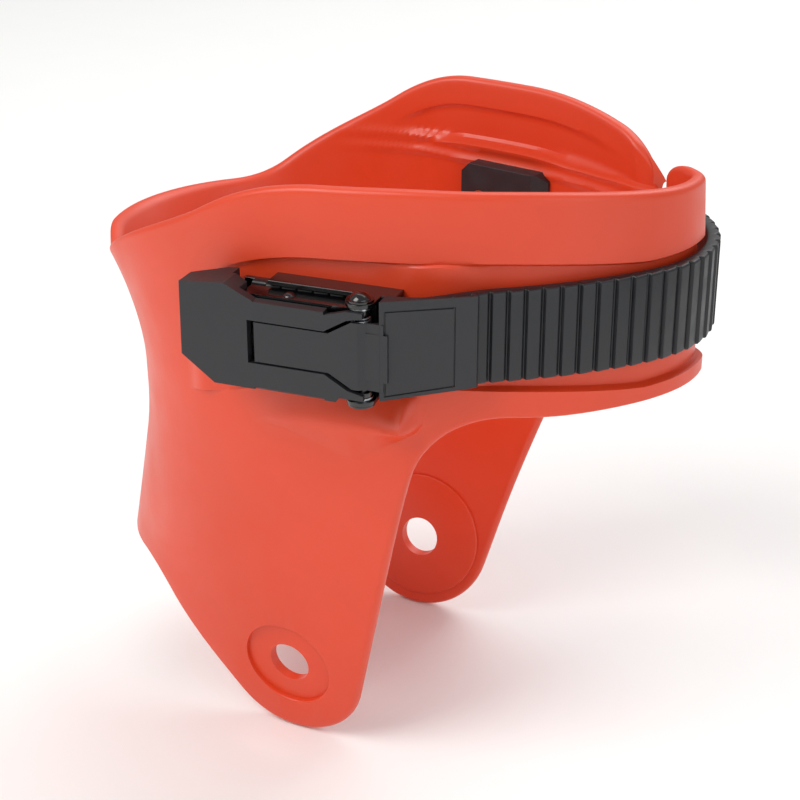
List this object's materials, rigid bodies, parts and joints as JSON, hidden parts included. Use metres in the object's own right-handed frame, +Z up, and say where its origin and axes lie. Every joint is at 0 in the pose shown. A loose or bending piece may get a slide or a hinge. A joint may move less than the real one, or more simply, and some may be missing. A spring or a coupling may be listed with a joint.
{
  "type": "climbing spur ankle cuff",
  "caption": "C-shaped moulded ankle cuff with two pivot ears, closed by a toothed ladder strap and a lever ratchet buckle with a release tongue.",
  "frame": {"origin": "middle of the pivot axis that runs through both ears", "axes": "+X forward, towards the front of the cuff; +Y along the pivot axis, away from the buckle side; +Z up the leg"},
  "size_m": [0.1706, 0.1299, 0.167],
  "materials": {
    "orange_shell": "satin",
    "black_strap": "satin",
    "black_moulding": "matte",
    "black_steel": "gloss",
    "zinc_steel": "satin",
    "brass_insert": "satin"
  },
  "bodies": {
    "cuff": {"cuff_shell": "orange_shell", "ladder_strap": "black_strap", "anchor_block": "black_moulding", "anchor_inserts": "brass_insert", "anchor_screws": "zinc_steel", "anchor_plate": "black_steel", "buckle_base": "black_steel", "base_rivets": "zinc_steel", "rivet_washers": "zinc_steel", "lever_pin": "black_steel", "lever_pin_clip": "zinc_steel"},
    "lever": {"lever_yoke": "black_steel", "lever_handle": "black_moulding", "handle_screws": "zinc_steel", "pivot_washers": "zinc_steel", "drive_pawl_pins": "zinc_steel", "drive_pawl_spring": "zinc_steel"},
    "drive_pawl": {"drive_pawl": "black_steel"},
    "release": {"release_rocker": "black_moulding", "holding_pawl": "black_steel", "pawl_rivets": "zinc_steel", "release_spring": "zinc_steel"}
  },
  "joints": [
    {"name": "lever_swing", "type": "hinge", "parent": "cuff", "child": "lever", "pos_m": [0.03395, -0.06097, 0.1073], "axis": [0, 0, 1], "range_deg": [0, 65]},
    {"name": "drive_pawl_swing", "type": "hinge", "parent": "lever", "child": "drive_pawl", "pos_m": [0.01545, -0.06191, 0.1073], "axis": [0, 0, 1], "range_deg": [0, 7], "stiffness_Nm_per_rad": 0.02, "springref_deg": -5.73},
    {"name": "release_rock", "type": "hinge", "parent": "cuff", "child": "release", "pos_m": [0.03395, -0.06097, 0.1073], "axis": [0, 0, -1], "range_deg": [0, 3], "stiffness_Nm_per_rad": 0.3, "springref_deg": -5.73}
  ]
}
